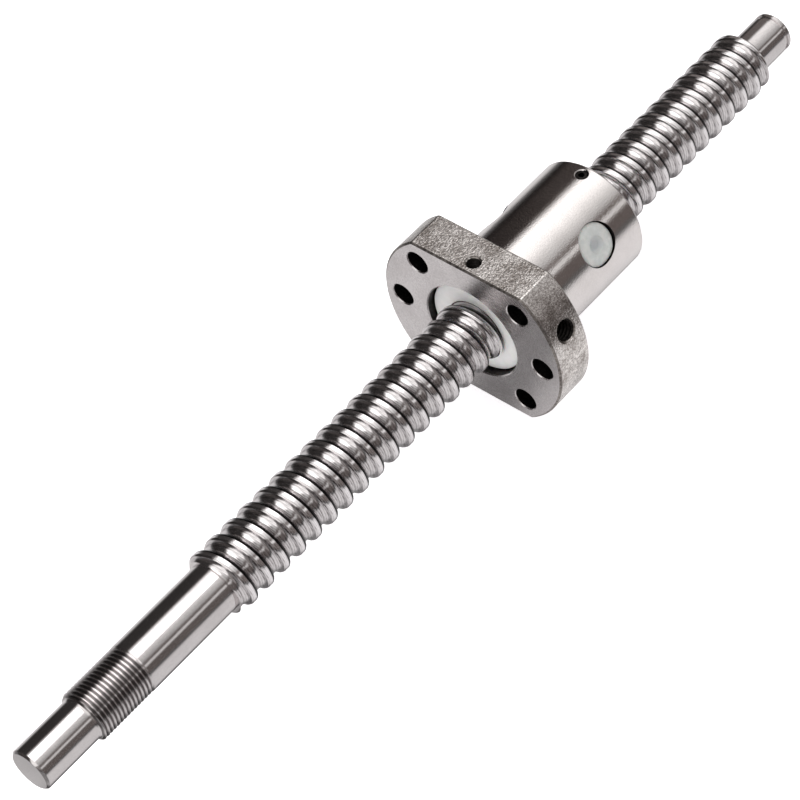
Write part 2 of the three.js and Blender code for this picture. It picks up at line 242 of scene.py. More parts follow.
def combine(base, *steps):
    """Joins, cuts or intersects base with other solids, in order, and drops the others."""
    for operation, other in steps:
        cut = base.modifiers.new(other.name, "BOOLEAN")
        cut.operation, cut.object, cut.solver = operation, other, "MANIFOLD"
    graph = bpy.context.evaluated_depsgraph_get()
    result = bpy.data.meshes.new_from_object(base.evaluated_get(graph))
    base.modifiers.clear()
    base.data = result
    result.materials.clear()
    for _, other in steps:
        bpy.data.objects.remove(other)
    return base


def radial(x, degrees):
    """Turns +X into the outward direction at an angle round the screw, at x along it."""
    out, along = around(0, 1, degrees), Vector((1, 0, 0))
    turn = Matrix((out, along, out.cross(along))).transposed().to_4x4()
    return Matrix.Translation((x, 0, 0)) @ turn


def numbers(elements, attribute, width, kind=np.float32):
    """One attribute of a mesh's elements as an array, with a row for each element."""
    values = np.empty(len(elements) * width, kind)
    elements.foreach_get(attribute, values)
    return values.reshape(-1, width) if width > 1 else values


def exact_normals(mesh):
    """The mesh's corner normals, exact on cylinders about the screw's axis and on flat faces."""
    nearly_radial, nearly_level, nearly_square = math.cos(math.radians(3)), 0.01, 0.999995
    normals = numbers(mesh.corner_normals, "vector", 3)
    places = numbers(mesh.vertices, "co", 3)[numbers(mesh.loops, "vertex_index", 1, np.int32)]
    corners = numbers(mesh.polygons, "loop_total", 1, np.int32)
    facing = np.repeat(numbers(mesh.polygons, "normal", 3), corners, axis=0)
    outward = places * np.array([0, 1, 1], np.float32)
    outward /= np.maximum(np.linalg.norm(outward, axis=1, keepdims=True), 1e-9)
    lean = np.sum(outward * facing, axis=1)
    on_cylinder = (np.abs(lean) > nearly_radial) & (np.abs(facing[:, 0]) < nearly_level)
    normals[on_cylinder] = (outward * np.sign(lean)[:, None])[on_cylinder]
    below_flats = np.abs(places[:, 2]) < (FLAT_HEIGHT - 0.5) * MM
    flat = (np.abs(facing).max(axis=1) > nearly_square) & ~(on_cylinder & below_flats)
    normals[flat] = facing[flat]
    return normals


def smooth(made, sharp_degrees=32):
    """Cleans a boolean's result and shades it smoothly, with crisp edges."""
    mesh = made.data
    shape = bmesh.new()
    shape.from_mesh(mesh)
    bmesh.ops.dissolve_degenerate(shape, dist=1e-8, edges=shape.edges)
    bmesh.ops.triangulate(shape, faces=[f for f in shape.faces if len(f.verts) > 4])
    shape.to_mesh(mesh)
    shape.free()
    mesh.shade_smooth()
    mesh.set_sharp_from_angle(angle=math.radians(sharp_degrees))
    mesh.normals_split_custom_set(exact_normals(mesh).tolist())
    return made


# ---- Helical profiles ---------------------------------------------------------------------------


def mirrored(ahead, pitch):
    """One pitch of a profile from its half, which runs from the middle of the groove."""
    behind = [(pitch - offset, radius) for offset, radius in reversed(ahead) if 0 < offset < pitch / 2]
    return ahead + behind


def screw_profile(grow=0.0, arc_steps=9):
    """The ground raceway, the chamfer at its edge and the land, from the groove's middle."""
    radius = GROOVE_RADIUS - grow
    reach = math.radians(69.5)
    arc = [
        (radius * math.sin(reach * k / arc_steps), BALL_CIRCLE - radius * math.cos(reach * k / arc_steps))
        for k in range(arc_steps + 1)
    ]
    edge_offset, edge_radius = arc[-1]
    land = SCREW_RADIUS + grow
    corners = [
        (*arc[-2], 0),
        (edge_offset, edge_radius, 0.07),
        (edge_offset + 0.42, land, 0.12),
        (LEAD / 2, land, 0),
    ]
    return mirrored(arc[:-2] + rounded(corners), LEAD)


def nut_profile(arc_steps=6):
    reach = math.radians(62)
    arc = [
        (
            GROOVE_RADIUS * math.sin(reach * k / arc_steps),
            BALL_CIRCLE + GROOVE_RADIUS * math.cos(reach * k / arc_steps),
        )
        for k in range(arc_steps + 1)
    ]
    land = SCREW_RADIUS + LAND_CLEARANCE
    corners = [(*arc[-1], 0), (arc[-1][0] + 0.35, land, 0), (LEAD / 2, land, 0)]
    return mirrored(arc[:-1] + rounded(corners), LEAD)


def thread_profile(crest, root, pitch):
    """A metric thread: 60 degree flanks, with a narrow flat at the crest and a rounded root."""
    flank = (crest - root) * math.tan(math.radians(30))
    start = max(0.04 * pitch, pitch / 2 - flank - 0.07 * pitch)
    corners = [
        (0, root, 0),
        (start, root, 0.05 * pitch),
        (start + flank, crest, 0.03 * pitch),
        (pitch / 2, crest, 0),
    ]
    return mirrored(rounded(corners, 2), pitch)


def ball_centre(circuit, degrees_round):
    """Where a circuit's balls run, at an angle from the middle of its deflector."""
    x, degrees = circuit
    turn = (degrees_round + 180) % 360 - 180
    if abs(turn) >= CROSSING_HALF:
        past = turn - 180 if turn > 0 else turn + 180
        return around(x + LEAD * past / 360, BALL_CIRCLE, degrees + turn)
    share = turn / CROSSING_HALF
    ease = (3 * share - share**3) / 2
    radius = BALL_CIRCLE + (1 - share**4) * (CROSSING_CIRCLE - BALL_CIRCLE)
    return around(x + LEAD * (CROSSING_HALF - 180) / 360 * ease, radius, degrees + turn)


def crossing(circuit, radius):
    path = [ball_centre(circuit, (i / 24 - 1) * CROSSING_REACH) for i in range(49)]
    return tube("crossing", path, radius)


# ---- The screw shaft ----------------------------------------------------------------------------


def make_screw():
    start, end = SHOULDERS
    core = helicoid("ground_screw_shaft", screw_profile(), LEAD, PHASE, start, end)
    envelope = lathe(
        "envelope",
        rounded(
            [
                (start, 0, 0),
                (start, SCREW_RADIUS - 1, 0.12),
                (start + 1, SCREW_RADIUS + 0.02, 0.15),
                (end - 1, SCREW_RADIUS + 0.02, 0.15),
                (end, SCREW_RADIUS - 1, 0.12),
                (end, 0, 0),
            ]
        ),
    )
    drive = lathe(
        "drive_end",
        rounded(
            [
                (0, 0, 0),
                (0, DRIVE_RADIUS - 0.5, 0.08),
                (0.5, DRIVE_RADIUS, 0.12),
                (DRIVE_END - 0.5, DRIVE_RADIUS, 0.3),
                (DRIVE_END + 0.1, DRIVE_RADIUS + 0.25, 0),
                (DRIVE_END + 0.3, THREAD_CORE, 0.05),
                (THREAD_END - 0.1, THREAD_CORE, 0.05),
                (THREAD_END + 0.35, BEARING_RADIUS - 0.15, 0.1),
                (THREAD_END + 0.6, BEARING_RADIUS, 0.1),
                (start + 2, BEARING_RADIUS, 0),
                (start + 2, 0, 0),
            ]
        ),
    )
    ridges = thread_profile(THREAD_RADIUS, THREAD_ROOT, THREAD_PITCH)
    thread = helicoid("locknut_thread", ridges, THREAD_PITCH, 0.35, DRIVE_END, THREAD_END, THREAD_HELIX)
    thread_envelope = lathe(
        "thread_envelope",
        rounded(
            [
                (DRIVE_END + 0.02, 0, 0),
                (DRIVE_END + 0.02, 5.45, 0.05),
                (DRIVE_END + 0.55, THREAD_RADIUS + 0.05, 0),
                (THREAD_END + 0.45, THREAD_RADIUS + 0.05, 0),
                (THREAD_END + 0.45, 0, 0),
            ]
        ),
    )
    groove = [end + depth for depth in CIRCLIP]
    float_end = lathe(
        "float_end",
        rounded(
            [
                (end - 2, 0, 0),
                (end - 2, FLOAT_RADIUS, 0),
                (groove[0], FLOAT_RADIUS, 0.04),
                (groove[0], FLOAT_RADIUS - CIRCLIP_DEPTH, 0.04),
                (groove[1], FLOAT_RADIUS - CIRCLIP_DEPTH, 0.04),
                (groove[1], FLOAT_RADIUS, 0.04),
                (SCREW_LENGTH - 0.5, FLOAT_RADIUS, 0.12),
                (SCREW_LENGTH, FLOAT_RADIUS - 0.5, 0.08),
                (SCREW_LENGTH, 0, 0),
            ]
        ),
    )
    combine(thread, ("INTERSECT", thread_envelope))
    return combine(core, ("INTERSECT", envelope), ("UNION", drive), ("UNION", thread), ("UNION", float_end))


# ---- The nut ------------------------------------------------------------------------------------


def flange_reach(degrees, inset, corner=0.55):
    """How far the flange's outline is from the axis at an angle: arcs, two flats and soft corners."""
    radius, flat, corner = FLANGE_RADIUS - inset, FLAT_HEIGHT - inset, corner - inset
    a = math.radians(degrees)
    sine, cosine = abs(math.sin(a)), abs(math.cos(a))
    centre = (math.sqrt((radius - corner) ** 2 - (flat - corner) ** 2), flat - corner)
    if math.atan2(sine, cosine) <= math.atan2(centre[1], centre[0]):
        return radius
    if sine * centre[0] >= cosine * flat:
        return flat / sine
    along = centre[0] * cosine + centre[1] * sine
    return along + math.sqrt(max(along**2 - centre[0] ** 2 - centre[1] ** 2 + corner**2, 0))


def nut_blank():
    """The flanged nut before its holes are cut: the outline of one section after another along X."""
    corner = math.degrees(math.asin(FLAT_HEIGHT / FLANGE_RADIUS))
    angles = {360 * s / ROUND for s in range(ROUND)}
    for turn in np.linspace(-2.6, 1.6, 12):
        angles |= {corner + turn, 180 - corner - turn, 180 + corner + turn, 360 - corner - turn}
    angles = sorted(angles)
    bevel = rounded(
        [
            (0, FLANGE_RADIUS - 6, 0),
            (0, FLANGE_RADIUS - FLANGE_CHAMFER, 0.12),
            (FLANGE_CHAMFER, FLANGE_RADIUS, 0.15),
            (FLANGE_THICKNESS - FLANGE_CHAMFER, FLANGE_RADIUS, 0.15),
            (FLANGE_THICKNESS, FLANGE_RADIUS - FLANGE_CHAMFER, 0.12),
            (FLANGE_THICKNESS, FLANGE_RADIUS - 6, 0),
        ]
    )
    levels = [(NUT_FRONT + x, [flange_reach(a, FLANGE_RADIUS - r) for a in angles]) for x, r in bevel[1:-1]]
    body = rounded(
        [
            (FLANGE_BACK, NUT_RADIUS + 3, 0),
            (FLANGE_BACK, NUT_RADIUS, 0.3),
            (NUT_REAR - 0.75, NUT_RADIUS, 0.2),
            (NUT_REAR, NUT_RADIUS - 0.75, 0.12),
            (NUT_REAR, SEAT_RADIUS, 0),
        ]
    )
    levels += [(x, [r] * len(angles)) for x, r in body[1:-1]]
    points = [around(x, r, a) for x, reaches in levels for r, a in zip(reaches, angles)]
    count = len(angles)
    faces = []
    for i in range(len(levels) - 1):
        for s in range(count):
            t = (s + 1) % count
            faces.append((i * count + s, (i + 1) * count + s, (i + 1) * count + t, i * count + t))
    faces.append(tuple(range(count)))
    faces.append(tuple(reversed(range((len(levels) - 1) * count, len(levels) * count))))
    return solid("flanged_nut", points, faces)


def bolt_hole(degrees):
    edge = 0.2
    profile = [
        (NUT_FRONT - 1, 0, 0),
        (NUT_FRONT - 1, BOLT_RADIUS + edge + 1, 0),
        (NUT_FRONT + edge, BOLT_RADIUS, 0.1),
        (FLANGE_BACK - edge, BOLT_RADIUS, 0.1),
        (FLANGE_BACK + 1, BOLT_RADIUS + edge + 1, 0),
        (FLANGE_BACK + 1, 0, 0),
    ]
    place = Matrix.Translation(around(0, BOLT_CIRCLE, degrees))
    return lathe("bolt_hole", rounded(profile), HOLE_ROUND, place)


def threaded_hole(x, degrees, floor, surface, crest, root, pitch):
    """A tapped hole, as a cutter: its thread, and a small countersink at the surface."""
    place = radial(x, degrees)
    ridges = thread_profile(crest, root, pitch)
    thread = helicoid("tapped_hole", ridges, pitch, 0, floor, surface, SMALL_HELIX, place)
    length = lathe(
        "length",
        [
            (floor - 0.5, 0),
            (floor, root),
            (surface - (crest - root) - 0.1, crest + 0.3),
            (surface + 0.5, crest + 0.3),
            (surface + 0.5, 0),
        ],
        HOLE_ROUND,
        place,
    )
    sink = lathe(
        "sink",
        [
            (floor + 1, 0),
            (floor + 1, root - 0.1),
            (surface - 0.12 - (crest - root), root - 0.1),
            (surface - 0.12, crest + 0.02),
            (surface + 0.6, crest + 0.35),
            (surface + 0.6, 0),
        ],
        HOLE_ROUND,
        place,
    )
    return combine(thread, ("INTERSECT", length), ("UNION", sink))


def make_nut():
    front = [
        (NUT_FRONT - 1, 0, 0),
        (NUT_FRONT - 1, SEAT_RADIUS + 1.25, 0),
        (NUT_FRONT + 0.25, SEAT_RADIUS, 0.1),
        (NUT_FRONT + SEAT_DEPTH, SEAT_RADIUS, 0.1),
        (NUT_FRONT + SEAT_DEPTH, 0, 0),
    ]
    rear = [(NUT_FRONT + NUT_REAR - x, radius, fillet) for x, radius, fillet in front]
    start, end = NUT_FRONT + SEAT_DEPTH, NUT_REAR - SEAT_DEPTH
    bore = helicoid("raceway", nut_profile(), LEAD, PHASE, start, end, NUT_HELIX)
    outside = BALL_CIRCLE + 3
    before, after = start - 0.1, end + 0.1
    sleeve = lathe("sleeve", [(before, 0), (before, outside), (after, outside), (after, 0)])
    combine(bore, ("INTERSECT", sleeve))
    cuts = [lathe("front_seat", rounded(front)), lathe("rear_seat", rounded(rear)), bore]
    cuts += [bolt_hole(degrees) for degrees in BOLT_ANGLES]
    for x, degrees in CIRCUITS:
        hole = [
            (1, 0, 0),
            (1, DEFLECTOR_HOLE, 0),
            (NUT_RADIUS - 0.02, DEFLECTOR_HOLE, 0.05),
            (NUT_RADIUS + 0.5, DEFLECTOR_HOLE + 0.5, 0),
            (NUT_RADIUS + 0.5, 0, 0),
        ]
        cuts.append(lathe("deflector_hole", rounded(hole), SMALL_ROUND, radial(x, degrees)))
    cuts += [crossing(circuit, CROSSING_IN_NUT) for circuit in CIRCUITS]
    front_screw, rear_screw = NUT_FRONT + SET_SCREW_INSET, NUT_REAR - SET_SCREW_INSET
    cuts.append(threaded_hole(front_screw, 90, SEAT_RADIUS - 1, FLAT_HEIGHT, *FRONT_TAP))
    cuts.append(threaded_hole(rear_screw, 90, SEAT_RADIUS - 1, NUT_RADIUS, *REAR_TAP))
    cuts.append(threaded_hole(PORT_X, PORT_ANGLE, PORT_FLOOR, FLANGE_RADIUS, *PORT_TAP))
    feed = [around(PORT_X, PORT_FLOOR + 1, PORT_ANGLE), around(PORT_X + 5, SCREW_RADIUS, PORT_ANGLE)]
    cuts.append(tube("feed", feed, FEED_RADIUS))
    return combine(nut_blank(), *(("DIFFERENCE", cut) for cut in cuts))


# ---- Deflectors, wipers, set screws and balls ---------------------------------------------------


def deflector_dish(top):
    """The shallow dish in a deflector's outer end, as a cutter's profile about its axis."""
    corners = [
        (top - 0.75, 0, 0),
        (top - 0.75, 1.0, 0.5),
        (top - 0.2, 1.9, 0.5),
        (top + 1.2, 2.6, 0),
        (top + 1.2, 0, 0),
    ]
    return rounded(corners, 5)


def deflector_rim(top):
    """What softens a deflector's rim, as a cutter's closed profile about its axis."""
    curve = [(-0.6, 0.03), (-0.34, -0.1), (-0.17, -0.4), (-0.05, -0.9), (0.06, -1.6)]
    outside = [(1, -1.6), (1, 0.5), (-0.6, 0.5)]
    return [(top + up, DEFLECTOR_RADIUS + out) for up, out in curve + outside]


def make_deflector(number, circuit):
    """A round moulded plug. Its outer end follows the nut's surface, with a dish and a soft rim."""
    x, degrees = circuit
    place = radial(x, degrees)
    end = NUT_RADIUS + 1
    bar = [(5, 0), (5, DEFLECTOR_RADIUS), (end, DEFLECTOR_RADIUS), (end, 0)]
    plug = lathe(f"deflector_plug_{number}", bar, SMALL_ROUND, place)
    top, space = NUT_RADIUS - DEFLECTOR_RECESS, SCREW_RADIUS + LAND_CLEARANCE
    before, after = x - 9, x + 9
    surface = lathe("surface", [(before, 0), (before, top), (after, top), (after, 0)])
    screw_space = lathe("screw_space", [(before, 0), (before, space), (after, space), (after, 0)])
    return combine(
        plug,
        ("INTERSECT", surface),
        ("DIFFERENCE", screw_space),
        ("DIFFERENCE", crossing(circuit, CROSSING_CHANNEL)),
        ("DIFFERENCE", lathe("dish", deflector_dish(top), SMALL_ROUND, place)),
        ("DIFFERENCE", lathe("soft_rim", deflector_rim(top), SMALL_ROUND, place, closed=True)),
    )


def wiper_ring(name, outer_face, direction, inner):
    """A wiper's ring from its outer face inwards, with the groove that its set screw's point enters."""
    middle = SET_SCREW_INSET - WIPER_RECESS
    corners = [
        (0.6, inner, 0),
        (0, inner, 0.04),
        (0, WIPER_RADIUS - 0.15, 0.1),
        (0.15, WIPER_RADIUS, 0.1),
        (middle - WIPER_GROOVE_HALF, WIPER_RADIUS, 0),
        (middle, WIPER_RADIUS - WIPER_GROOVE_DEPTH, 0),
        (middle + WIPER_GROOVE_HALF, WIPER_RADIUS, 0),
        (WIPER_THICKNESS, WIPER_RADIUS, 0.1),
        (WIPER_THICKNESS, inner, 0),
    ]
    profile = [(outer_face + direction * along, radius) for along, radius in rounded(corners)]
    return lathe(name, profile, closed=True)


def make_front_wiper():
    """Its lip runs in the screw's groove, so its bore is the screw's own thread with clearance."""
    x = NUT_FRONT + WIPER_RECESS
    ring = wiper_ring("front_wiper_seal", x, 1, BALL_CIRCLE - GROOVE_RADIUS - 0.5)
    thread = helicoid("thread", screw_profile(WIPER_CLEARANCE), LEAD, PHASE, x, x + WIPER_THICKNESS)
    return combine(ring, ("DIFFERENCE", thread))


def make_rear_wiper():
    return wiper_ring("rear_wiper_seal", NUT_REAR - WIPER_RECESS, -1, SCREW_RADIUS + WIPER_CLEARANCE)


def hexagon_socket(top, place):
    """A hexagon bar from below a set screw's outer end to above it, as a cutter."""
    half_width, depth = 0.76, 1.2  # from the middle to a corner, and down from the outer end
    angles = [math.radians(60 * k) for k in range(6)]
    ring = [(half_width * math.cos(a), half_width * math.sin(a)) for a in angles]
    points = [(top - depth, *p) for p in ring] + [(top + 1, *p) for p in ring]
    faces = [tuple(range(6))[::-1], tuple(range(6, 12))]
    faces += [((k + 1) % 6, (k + 1) % 6 + 6, k + 6, k) for k in range(6)]
    return solid("socket", points, faces, place)


def make_set_screw(name, x, top):
    """A grub screw: cone point, fine thread, and a hexagon socket in its outer end."""
    place = radial(x, 90)
    tip = WIPER_RADIUS - 0.25
    ridges, pitch = thread_profile(*SET_SCREW_THREAD), SET_SCREW_THREAD[2]
    thread = helicoid(name, ridges, pitch, 0, tip, top, SMALL_HELIX, place)
    outline = [(tip, 0), (tip, 0.3), (tip + 1, 1.3), (tip + 1.1, 1.45)]
    outline += [(top - 0.2, 1.45), (top, 1.22), (top, 0)]
    length = lathe("length", outline, HOLE_ROUND, place)
    return combine(thread, ("INTERSECT", length), ("DIFFERENCE", hexagon_socket(top, place)))


def make_ball_mesh():
    shape = bmesh.new()
    bmesh.ops.create_icosphere(shape, subdivisions=4, radius=BALL_RADIUS * MM)
    mesh = bpy.data.meshes.new("bearing_ball")
    shape.to_mesh(mesh)
    shape.free()
    mesh.shade_smooth()
    return mesh


# ---- Assembly -----------------------------------------------------------------------------------


def own_axis(piece, matrix):
    """Gives a piece the origin and X axis of a matrix in millimetres, without moving its shape."""
    settled = matrix.copy()
    settled.translation *= MM
    piece.data.transform(settled.inverted())
    piece.matrix_world = settled
    return piece


def fit(piece, body, slot, *nodes):
    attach(piece, body)
    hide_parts(*nodes)
    return piece


screw = fit(smooth(make_screw()), "screw", "ground_steel", "screw_shaft")
nut = fit(smooth(make_nut()), "nut", "nut_steel", "nut_body")
front_wiper = fit(smooth(make_front_wiper()), "nut", "wiper_polymer", "front_wiper")
rear_wiper = fit(smooth(make_rear_wiper()), "rear_wiper", "wiper_polymer", "rear_wiper")
deflectors = []
for number, circuit in enumerate(CIRCUITS, 1):
    plug = own_axis(smooth(make_deflector(number, circuit)), radial(*circuit))
    deflectors.append(fit(plug, "nut", "deflector_polymer", f"ball_deflector_{number}"))
set_screws = [
    fit(
        smooth(make_set_screw(f"{end}_grub_screw", x, cad_box(f"{end}_wiper_set_screw")[1].z)),
        "nut",
        "black_steel",
        f"{end}_wiper_set_screw",
    )
    for end, x in (("front", NUT_FRONT + SET_SCREW_INSET), ("rear", NUT_REAR - SET_SCREW_INSET))
]
ball_mesh = make_ball_mesh()
balls = []
for node in sorted(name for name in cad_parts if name.startswith("ball_") and "deflector" not in name):
    low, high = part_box(node)
    ball = bpy.data.objects.new(f"polished_{node}", ball_mesh)
    ball.location = (low + high) / 2
    scene.collection.objects.link(ball)
    balls.append(fit(ball, "nut", "bearing_steel", node))

# ---- Materials ----------------------------------------------------------------------------------


class Graph:
    """Short names for the nodes that the materials and the studio share."""

    def __init__(self, tree):
        self.tree = tree

    def node(self, kind, inputs=None, **settings):
        made = self.tree.nodes.new(kind)
        for key, value in settings.items():
            setattr(made, key, value)
        for key, value in (inputs or {}).items():
            self.feed(made.inputs[key], value)
        return made

    def feed(self, socket, value):
        if isinstance(value, bpy.types.NodeSocket):
            self.tree.links.new(value, socket)
        else:
            socket.default_value = value

    def math(self, operation, *values):
        made = self.node("ShaderNodeMath", operation=operation)
        for socket, value in zip(made.inputs, values):
            self.feed(socket, value)
        return made.outputs[0]

    def add(self, a, b):
        return self.math("ADD", a, b)

    def times(self, a, b):
        return self.math("MULTIPLY", a, b)

    def ramp(self, value, low, high, start=0.0, end=1.0):
        """Goes smoothly from start to end while value goes from low to high."""
        inputs = {0: value, 1: low, 2: high, 3: start, 4: end}
        return self.node("ShaderNodeMapRange", inputs, interpolation_type="SMOOTHSTEP").outputs[0]

    def band(self, value, low, high, soft):
        """1 between low and high, with soft edges."""
        rise = self.ramp(value, low - soft, low + soft)
        return self.times(rise, self.ramp(value, high - soft, high + soft, 1, 0))

    def blend(self, factor, a, b):
        return self.node("ShaderNodeMix", {0: factor, 2: a, 3: b}, data_type="FLOAT").outputs[0]

    def choose(self, factor, a, b):
        """Goes from colour a to colour b with factor. Either can be a socket."""
        made = self.node("ShaderNodeMix", {0: factor}, data_type="RGBA")
        for socket, color in ((made.inputs[6], a), (made.inputs[7], b)):
            self.feed(socket, color if isinstance(color, bpy.types.NodeSocket) else (*color, 1))
        return made.outputs[2]

    def object_point(self, scale):
        """Where a point is in its own piece, in millimetres, stretched by scale."""
        at = self.node("ShaderNodeTexCoord").outputs["Object"]
        stretch = [s / MM for s in scale]
        return self.node("ShaderNodeVectorMath", {0: at, 1: stretch}, operation="MULTIPLY").outputs[0]

    def noise(self, vector, scale, detail=2.0, roughness=0.5):
        inputs = {"Vector": vector, "Scale": scale, "Detail": detail, "Roughness": roughness}
        return self.node("ShaderNodeTexNoise", inputs).outputs["Fac"]

    def split(self, vector):
        return self.node("ShaderNodeSeparateXYZ", {0: vector}).outputs

    def join(self, x, y, z):
        return self.node("ShaderNodeCombineXYZ", {0: x, 1: y, 2: z}).outputs[0]

    def emboss(self, shader, height):
        """Raises the shader's surface by height, in millimetres."""
        bump = self.node("ShaderNodeBump", {"Strength": 1.0, "Distance": MM, "Height": height})
        self.feed(shader.inputs["Normal"], bump.outputs[0])

    def radius(self):
        """The distance from the piece's X axis, in millimetres."""
        _, y, z = self.split(self.object_point((1, 1, 1)))
        return self.math("SQRT", self.add(self.times(y, y), self.times(z, z)))


def new_material(name, **constants):
    made = bpy.data.materials.new(name)
    made.use_nodes = True
    shader = made.node_tree.nodes["Principled BSDF"]
    for key, value in constants.items():
        shader.inputs[key.replace("_", " ")].default_value = value
    return made, Graph(made.node_tree), shader


ALONG_SCREW, EVERY_WAY = (1, 0.02, 0.02), (1, 1, 1)
TURNED = "turned"
LAND_EDGE = 1.8  # from the middle of a land's far chamfer to the raceway's middle
LAND_START = 3.55  # from the middle of a land's far chamfer to that of the next land's near one
CHAMFER_SHADE_HALF, CHAMFER_SHADE_SOFT = 0.39, 0.05  # half the width of the painted shade on a far chamfer, and its soft edge
GRAIN_SHARE, PATCH_SHARE = 0.6, 0.5  # how much grains and wide patches decide where steel is light


def finish_steel(g, shader, dark, light, roughness, spread, lines, marks_depth, grain, grain_depth):
    """Colours, roughness and bump of machined steel, from its tool lines and the grain between them."""
    grains = g.noise(g.object_point(EVERY_WAY), grain, 2.0, 0.6)
    patches = g.noise(g.object_point(EVERY_WAY), 0.16, 3.0, 0.6)
    share = g.ramp(g.add(g.times(grains, GRAIN_SHARE), g.times(patches, PATCH_SHARE)), 0.35, 0.75)
    g.feed(shader.inputs["Roughness"], g.add(roughness - spread, g.times(g.add(lines, patches), spread)))
    g.emboss(shader, g.add(g.times(lines, marks_depth), g.times(grains, grain_depth)))
    return g.choose(share, dark, light)


def steel(name, dark, light, roughness, marks, marks_depth, grain, grain_depth, spread=0.04, across=0.0):
    """Machined steel. marks are the tool's lines, and grain is the surface between them.

    marks is TURNED for rings round the axis, or how quickly the lines change along X, Y and Z.
    across is how much the lines stretch a reflection.
    """
    made, g, shader = new_material(name, Metallic=1.0, Anisotropic=across)
    if marks == TURNED:
        _, y, z = g.split(g.object_point((1, 1, 1)))
        place = g.join(g.radius(), g.times(y, 0.05), g.times(z, 0.05))
    else:
        place = g.object_point(marks)
    lines = g.noise(place, 3.0, 3.0, 0.7)
    color = finish_steel(g, shader, dark, light, roughness, spread, lines, marks_depth, grain, grain_depth)
    g.feed(shader.inputs["Base Color"], color)
    if across:
        g.feed(shader.inputs["Tangent"], g.join(1.0, 0.0, 0.0))
    return made


def raceway_steel(name, journal, raceway, land, soil_and_root_shade, scale):
    """The screw: ground journals and streaks along the raceway, with painted light and shade: the lands
    painted lighter than the raceway, and painted shade in the lock nut thread's grooves.

    scale is the colour painted on the lands' far chamfers: painted shade, for the dark that they reflect.
    """
    made, g, shader = new_material(name, Metallic=0.97, Anisotropic=0.4)
    x, y, z = g.split(g.object_point((1, 1, 1)))
    turn = g.add(g.times(g.math("ARCTAN2", g.times(y, -1.0), z), 0.5 / math.pi), 0.25)
    helix = g.math("SUBTRACT", g.times(g.add(x, LAND_EDGE - PHASE), 1 / LEAD), turn)
    offset = g.times(g.math("FRACT", helix), LEAD)
    threaded = g.band(x, SHOULDERS[0] + 0.6, SHOULDERS[1] - 0.6, 0.3)
    streaks = g.noise(g.join(offset, g.times(y, 0.06), g.times(z, 0.06)), 3.6, 3.0, 0.75)
    rings = g.noise(g.object_point(ALONG_SCREW), 3.0, 3.0, 0.7)
    lines = g.blend(threaded, g.times(rings, 0.15), streaks)
    worn = finish_steel(g, shader, *journal, 0.15, 0.03, lines, 0.03, 2.6, 0.006)
    ground = g.choose(g.ramp(streaks, 0.4, 0.6), *raceway)
    ground = g.choose(g.ramp(streaks, 0.46, 0.37, 0, 0.75), ground, soil_and_root_shade)
    # Painted light: the lands are painted lighter than the raceway.
    painted_light = g.choose(g.ramp(streaks, 0.35, 0.5), *land)
    color = g.choose(threaded, worn, g.choose(g.ramp(offset, LAND_START, LAND_START + 0.3), ground, painted_light))
    # Painted shade: the lock nut thread's grooves are painted dark with the soil colour.
    root_shade = g.ramp(g.radius(), THREAD_RADIUS - 0.12, THREAD_RADIUS - 0.42)
    root_shade = g.times(root_shade, g.band(x, DRIVE_END, THREAD_END, 0.1))
    color = g.choose(g.times(root_shade, 0.85), color, soil_and_root_shade)
    # Painted shade: the lands' far chamfers are painted nearly black, for the dark that they reflect.
    edge = g.math("ABSOLUTE", g.add(offset, -LEAD / 2))
    chamfer_shade_edge = LEAD / 2 - CHAMFER_SHADE_HALF
    chamfer = g.times(g.ramp(edge, chamfer_shade_edge - CHAMFER_SHADE_SOFT, chamfer_shade_edge), threaded)
    g.feed(shader.inputs["Base Color"], g.choose(chamfer, color, scale))
    g.feed(shader.inputs["Tangent"], g.join(1.0, 0.0, 0.0))
    return made


def polymer(name, color, edge, roughness, middle_tone=None):
    """Moulded polymer: a faint mottle under a fine matt skin, with a little light through it.

    The last argument, if given, is the colour at the piece's own X axis, which the colour fades into
    towards the middle.
    """
    made, g, shader = new_material(name, Metallic=0.0, Subsurface_Weight=0.12, Subsurface_Scale=0.0006)
    mottle = g.noise(g.object_point(EVERY_WAY), 0.7, 3.0, 0.6)
    color = g.choose(g.ramp(mottle, 0.35, 0.65), color, edge)
    # Darker and a little bluer towards the middle.
    if middle_tone:
        color = g.choose(g.ramp(g.radius(), 3.2, 0.6), color, middle_tone)
    g.feed(shader.inputs["Base Color"], color)
    skin = g.noise(g.object_point(EVERY_WAY), 7.0, 2.0, 0.5)
    g.feed(shader.inputs["Roughness"], g.add(roughness - 0.05, g.times(skin, 0.1)))
    g.emboss(shader, g.times(skin, 0.004))
    return made


screw_steel = raceway_steel(
    "ground_steel",
    journal=((0.58, 0.55, 0.55), (0.67, 0.64, 0.64)),
    raceway=((0.44, 0.415, 0.42), (0.74, 0.71, 0.715)),
    # The land colours are painted light, lighter than the raceway's.
    land=((0.66, 0.63, 0.64), (0.92, 0.89, 0.9)),
    # Soil on the raceway, and painted shade in the lock nut thread's grooves.
    soil_and_root_shade=(0.15, 0.135, 0.135),
    # scale is painted shade: the nearly black colour of the lands' far chamfers.
    scale=(0.01, 0.009, 0.009),
)
nut_ground = steel(
    "nut_ground",
    dark=(0.74, 0.7, 0.69),
    light=(0.84, 0.8, 0.79),
    roughness=0.12,
    marks=ALONG_SCREW,
    marks_depth=0.002,
    grain=3.0,
    grain_depth=0.022,
    across=0.4,
)
nut_turned = steel(
    "nut_turned",
    dark=(0.52, 0.49, 0.49),
    light=(0.66, 0.63, 0.63),
    roughness=0.27,
    marks=TURNED,
    marks_depth=0.02,
    grain=2.2,
    grain_depth=0.012,
)
